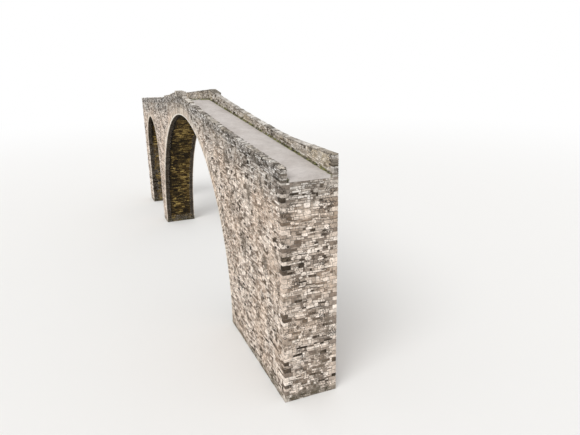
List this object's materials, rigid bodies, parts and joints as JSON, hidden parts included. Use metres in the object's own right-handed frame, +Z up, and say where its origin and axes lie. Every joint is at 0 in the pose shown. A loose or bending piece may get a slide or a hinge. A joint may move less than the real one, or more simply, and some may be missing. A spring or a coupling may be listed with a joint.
{
  "type": "stone humpbacked road bridge, a scale model at half size",
  "caption": "Humpbacked rubble stone bridge with a great round arch, a small side arch, solid parapets and a steep paved roadway, at half scale.",
  "frame": {"origin": "on the river bed at the middle of the bridge's length and width, under the crest of the road", "axes": "+X along the bridge to the near ramp's end, +Y to the right of a walker who goes up the near ramp, +Z up"},
  "size_m": [29.4, 2.26, 9.605],
  "materials": {
    "rubble_masonry": "rough rubble in lime mortar",
    "arch_stone": "thin split slabs set on edge",
    "parapet_masonry": "weathered rubble with lichen",
    "coping_stone": "pale rough-dressed blocks",
    "road_surface": "smooth worn grey paving",
    "rubble_fill": "packed rubble and earth"
  },
  "bodies": {
    "root": {"near_abutment": "rubble_masonry", "river_pier": "rubble_masonry", "far_abutment": "rubble_masonry", "main_arch_barrel": "arch_stone", "main_arch_ring_left": "arch_stone", "main_arch_ring_right": "arch_stone", "side_arch_barrel": "arch_stone", "side_arch_ring_left": "arch_stone", "side_arch_ring_right": "arch_stone", "near_wall_left": "rubble_masonry", "near_wall_right": "rubble_masonry", "middle_wall_left": "rubble_masonry", "middle_wall_right": "rubble_masonry", "far_wall_left": "rubble_masonry", "far_wall_right": "rubble_masonry", "near_end_wall": "rubble_masonry", "far_end_wall": "rubble_masonry", "near_fill": "rubble_fill", "middle_fill": "rubble_fill", "far_fill": "rubble_fill", "near_pavement": "road_surface", "far_pavement": "road_surface", "near_parapet_left": "parapet_masonry", "near_parapet_right": "parapet_masonry", "far_parapet_left": "parapet_masonry", "far_parapet_right": "parapet_masonry", "end_parapet_right": "parapet_masonry", "near_coping_left": "coping_stone", "near_coping_right": "coping_stone", "far_coping_left": "coping_stone", "far_coping_right": "coping_stone", "end_coping_right": "coping_stone", "crest_corbel_left": "coping_stone", "crest_corbel_right": "coping_stone", "crest_cap_left": "coping_stone", "crest_cap_right": "coping_stone"}
  },
  "joints": []
}
